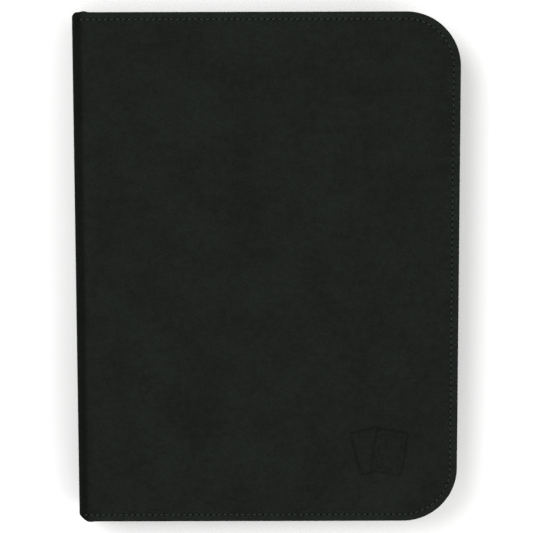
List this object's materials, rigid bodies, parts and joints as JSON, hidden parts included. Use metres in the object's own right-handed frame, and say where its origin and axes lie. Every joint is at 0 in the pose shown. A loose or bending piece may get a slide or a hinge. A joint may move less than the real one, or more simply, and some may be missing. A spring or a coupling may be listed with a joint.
{
  "type": "trading card binder",
  "caption": "Flat zip-up binder with padded covers, rounded fore corners, a sewn-in spine and pocket pages for trading cards.",
  "frame": {"origin": "centre of the closed binder's footprint, on the outer face of its back cover", "axes": "+X from the spine to the fore edge, +Y from the tail to the head, +Z from the back cover to the front cover"},
  "size_m": [0.268, 0.357, 0.034],
  "materials": {
    "cover_skin": "matt",
    "foam_padding": "matt",
    "stiff_board": "matt",
    "lining_cloth": "matt",
    "thread": "satin",
    "zip_tape": "matt",
    "zip_coil": "satin",
    "zip_metal": "satin",
    "page_film": "satin"
  },
  "bodies": {
    "back_cover": {"back_skin": "cover_skin", "back_padding": "foam_padding", "back_board": "stiff_board", "back_lining": "lining_cloth", "back_stitching": "thread", "back_zip_tape": "zip_tape", "back_zip_coil": "zip_coil", "back_zip_stops": "zip_metal"},
    "spine": {"spine_skin": "cover_skin", "spine_padding": "foam_padding", "spine_board": "stiff_board", "spine_lining": "lining_cloth", "head_gusset": "zip_tape", "tail_gusset": "zip_tape", "page_binding_tape": "zip_tape", "page_hinge_strips": "page_film"},
    "front_cover": {"front_skin": "cover_skin", "front_padding": "foam_padding", "front_board": "stiff_board", "front_lining": "lining_cloth", "front_stitching": "thread", "front_zip_tape": "zip_tape", "front_zip_coil": "zip_coil", "front_zip_stops": "zip_metal"},
    "page_01": {"page_01": "page_film"},
    "page_02": {"page_02": "page_film"},
    "page_03": {"page_03": "page_film"},
    "page_04": {"page_04": "page_film"},
    "page_05": {"page_05": "page_film"},
    "page_06": {"page_06": "page_film"},
    "page_07": {"page_07": "page_film"},
    "page_08": {"page_08": "page_film"},
    "page_09": {"page_09": "page_film"},
    "page_10": {"page_10": "page_film"},
    "page_11": {"page_11": "page_film"},
    "page_12": {"page_12": "page_film"},
    "page_13": {"page_13": "page_film"},
    "page_14": {"page_14": "page_film"},
    "page_15": {"page_15": "page_film"},
    "page_16": {"page_16": "page_film"},
    "page_17": {"page_17": "page_film"},
    "page_18": {"page_18": "page_film"},
    "page_19": {"page_19": "page_film"},
    "page_20": {"page_20": "page_film"},
    "slider": {"zip_slider": "zip_metal"},
    "pull": {"zip_pull_link": "zip_metal", "zip_pull_tab": "cover_skin", "zip_pull_rivet": "zip_metal"}
  },
  "joints": [
    {"name": "spine_fold", "type": "hinge", "parent": "back_cover", "child": "spine", "pos_m": [-0.134, 0, 0], "axis": [0, -1, 0], "range_deg": [0, 90]},
    {"name": "front_cover_fold", "type": "hinge", "parent": "spine", "child": "front_cover", "pos_m": [-0.134, 0, 0.034], "axis": [0, -1, 0], "range_deg": [0, 90]},
    {"name": "page_01_turn", "type": "hinge", "parent": "spine", "child": "page_01", "pos_m": [-0.128, 0, 0.0284], "axis": [0, -1, 0], "range_deg": [0, 90]},
    {"name": "page_02_turn", "type": "hinge", "parent": "spine", "child": "page_02", "pos_m": [-0.1273, 0, 0.0272], "axis": [0, -1, 0], "range_deg": [0, 90]},
    {"name": "page_03_turn", "type": "hinge", "parent": "spine", "child": "page_03", "pos_m": [-0.1266, 0, 0.026], "axis": [0, -1, 0], "range_deg": [0, 90]},
    {"name": "page_04_turn", "type": "hinge", "parent": "spine", "child": "page_04", "pos_m": [-0.1259, 0, 0.0248], "axis": [0, -1, 0], "range_deg": [0, 90]},
    {"name": "page_05_turn", "type": "hinge", "parent": "spine", "child": "page_05", "pos_m": [-0.1252, 0, 0.0236], "axis": [0, -1, 0], "range_deg": [0, 90]},
    {"name": "page_06_turn", "type": "hinge", "parent": "spine", "child": "page_06", "pos_m": [-0.1245, 0, 0.0224], "axis": [0, -1, 0], "range_deg": [0, 90]},
    {"name": "page_07_turn", "type": "hinge", "parent": "spine", "child": "page_07", "pos_m": [-0.1238, 0, 0.0212], "axis": [0, -1, 0], "range_deg": [0, 90]},
    {"name": "page_08_turn", "type": "hinge", "parent": "spine", "child": "page_08", "pos_m": [-0.1231, 0, 0.02], "axis": [0, -1, 0], "range_deg": [0, 90]},
    {"name": "page_09_turn", "type": "hinge", "parent": "spine", "child": "page_09", "pos_m": [-0.1224, 0, 0.0188], "axis": [0, -1, 0], "range_deg": [0, 90]},
    {"name": "page_10_turn", "type": "hinge", "parent": "spine", "child": "page_10", "pos_m": [-0.1217, 0, 0.0176], "axis": [0, -1, 0], "range_deg": [0, 90]},
    {"name": "page_11_turn", "type": "hinge", "parent": "spine", "child": "page_11", "pos_m": [-0.1217, 0, 0.0164], "axis": [0, -1, 0], "range_deg": [-90, 0]},
    {"name": "page_12_turn", "type": "hinge", "parent": "spine", "child": "page_12", "pos_m": [-0.1224, 0, 0.0152], "axis": [0, -1, 0], "range_deg": [-90, 0]},
    {"name": "page_13_turn", "type": "hinge", "parent": "spine", "child": "page_13", "pos_m": [-0.1231, 0, 0.014], "axis": [0, -1, 0], "range_deg": [-90, 0]},
    {"name": "page_14_turn", "type": "hinge", "parent": "spine", "child": "page_14", "pos_m": [-0.1238, 0, 0.0128], "axis": [0, -1, 0], "range_deg": [-90, 0]},
    {"name": "page_15_turn", "type": "hinge", "parent": "spine", "child": "page_15", "pos_m": [-0.1245, 0, 0.0116], "axis": [0, -1, 0], "range_deg": [-90, 0]},
    {"name": "page_16_turn", "type": "hinge", "parent": "spine", "child": "page_16", "pos_m": [-0.1252, 0, 0.0104], "axis": [0, -1, 0], "range_deg": [-90, 0]},
    {"name": "page_17_turn", "type": "hinge", "parent": "spine", "child": "page_17", "pos_m": [-0.1259, 0, 0.0092], "axis": [0, -1, 0], "range_deg": [-90, 0]},
    {"name": "page_18_turn", "type": "hinge", "parent": "spine", "child": "page_18", "pos_m": [-0.1266, 0, 0.008], "axis": [0, -1, 0], "range_deg": [-90, 0]},
    {"name": "page_19_turn", "type": "hinge", "parent": "spine", "child": "page_19", "pos_m": [-0.1273, 0, 0.0068], "axis": [0, -1, 0], "range_deg": [-90, 0]},
    {"name": "page_20_turn", "type": "hinge", "parent": "spine", "child": "page_20", "pos_m": [-0.128, 0, 0.0056], "axis": [0, -1, 0], "range_deg": [-90, 0]},
    {"name": "zip_slide", "type": "slide", "parent": "back_cover", "child": "slider", "axis": [1, 0, 0], "range_m": [0, 0.195]},
    {"name": "zip_pull_swing", "type": "hinge", "parent": "slider", "child": "pull", "pos_m": [-0.108, -0.17615, 0.017], "axis": [0, 0, -1], "range_deg": [0, 165]}
  ],
  "couplings": [
    {"joint": "front_cover_fold", "follows": "spine_fold", "ratio": 1},
    {"joint": "page_01_turn", "follows": "spine_fold", "ratio": 0.985},
    {"joint": "page_02_turn", "follows": "spine_fold", "ratio": 0.981},
    {"joint": "page_03_turn", "follows": "spine_fold", "ratio": 0.977},
    {"joint": "page_04_turn", "follows": "spine_fold", "ratio": 0.973},
    {"joint": "page_05_turn", "follows": "spine_fold", "ratio": 0.969},
    {"joint": "page_06_turn", "follows": "spine_fold", "ratio": 0.965},
    {"joint": "page_07_turn", "follows": "spine_fold", "ratio": 0.961},
    {"joint": "page_08_turn", "follows": "spine_fold", "ratio": 0.957},
    {"joint": "page_09_turn", "follows": "spine_fold", "ratio": 0.953},
    {"joint": "page_10_turn", "follows": "spine_fold", "ratio": 0.949},
    {"joint": "page_11_turn", "follows": "spine_fold", "ratio": -0.949},
    {"joint": "page_12_turn", "follows": "spine_fold", "ratio": -0.953},
    {"joint": "page_13_turn", "follows": "spine_fold", "ratio": -0.957},
    {"joint": "page_14_turn", "follows": "spine_fold", "ratio": -0.961},
    {"joint": "page_15_turn", "follows": "spine_fold", "ratio": -0.965},
    {"joint": "page_16_turn", "follows": "spine_fold", "ratio": -0.969},
    {"joint": "page_17_turn", "follows": "spine_fold", "ratio": -0.973},
    {"joint": "page_18_turn", "follows": "spine_fold", "ratio": -0.977},
    {"joint": "page_19_turn", "follows": "spine_fold", "ratio": -0.981},
    {"joint": "page_20_turn", "follows": "spine_fold", "ratio": -0.985}
  ]
}
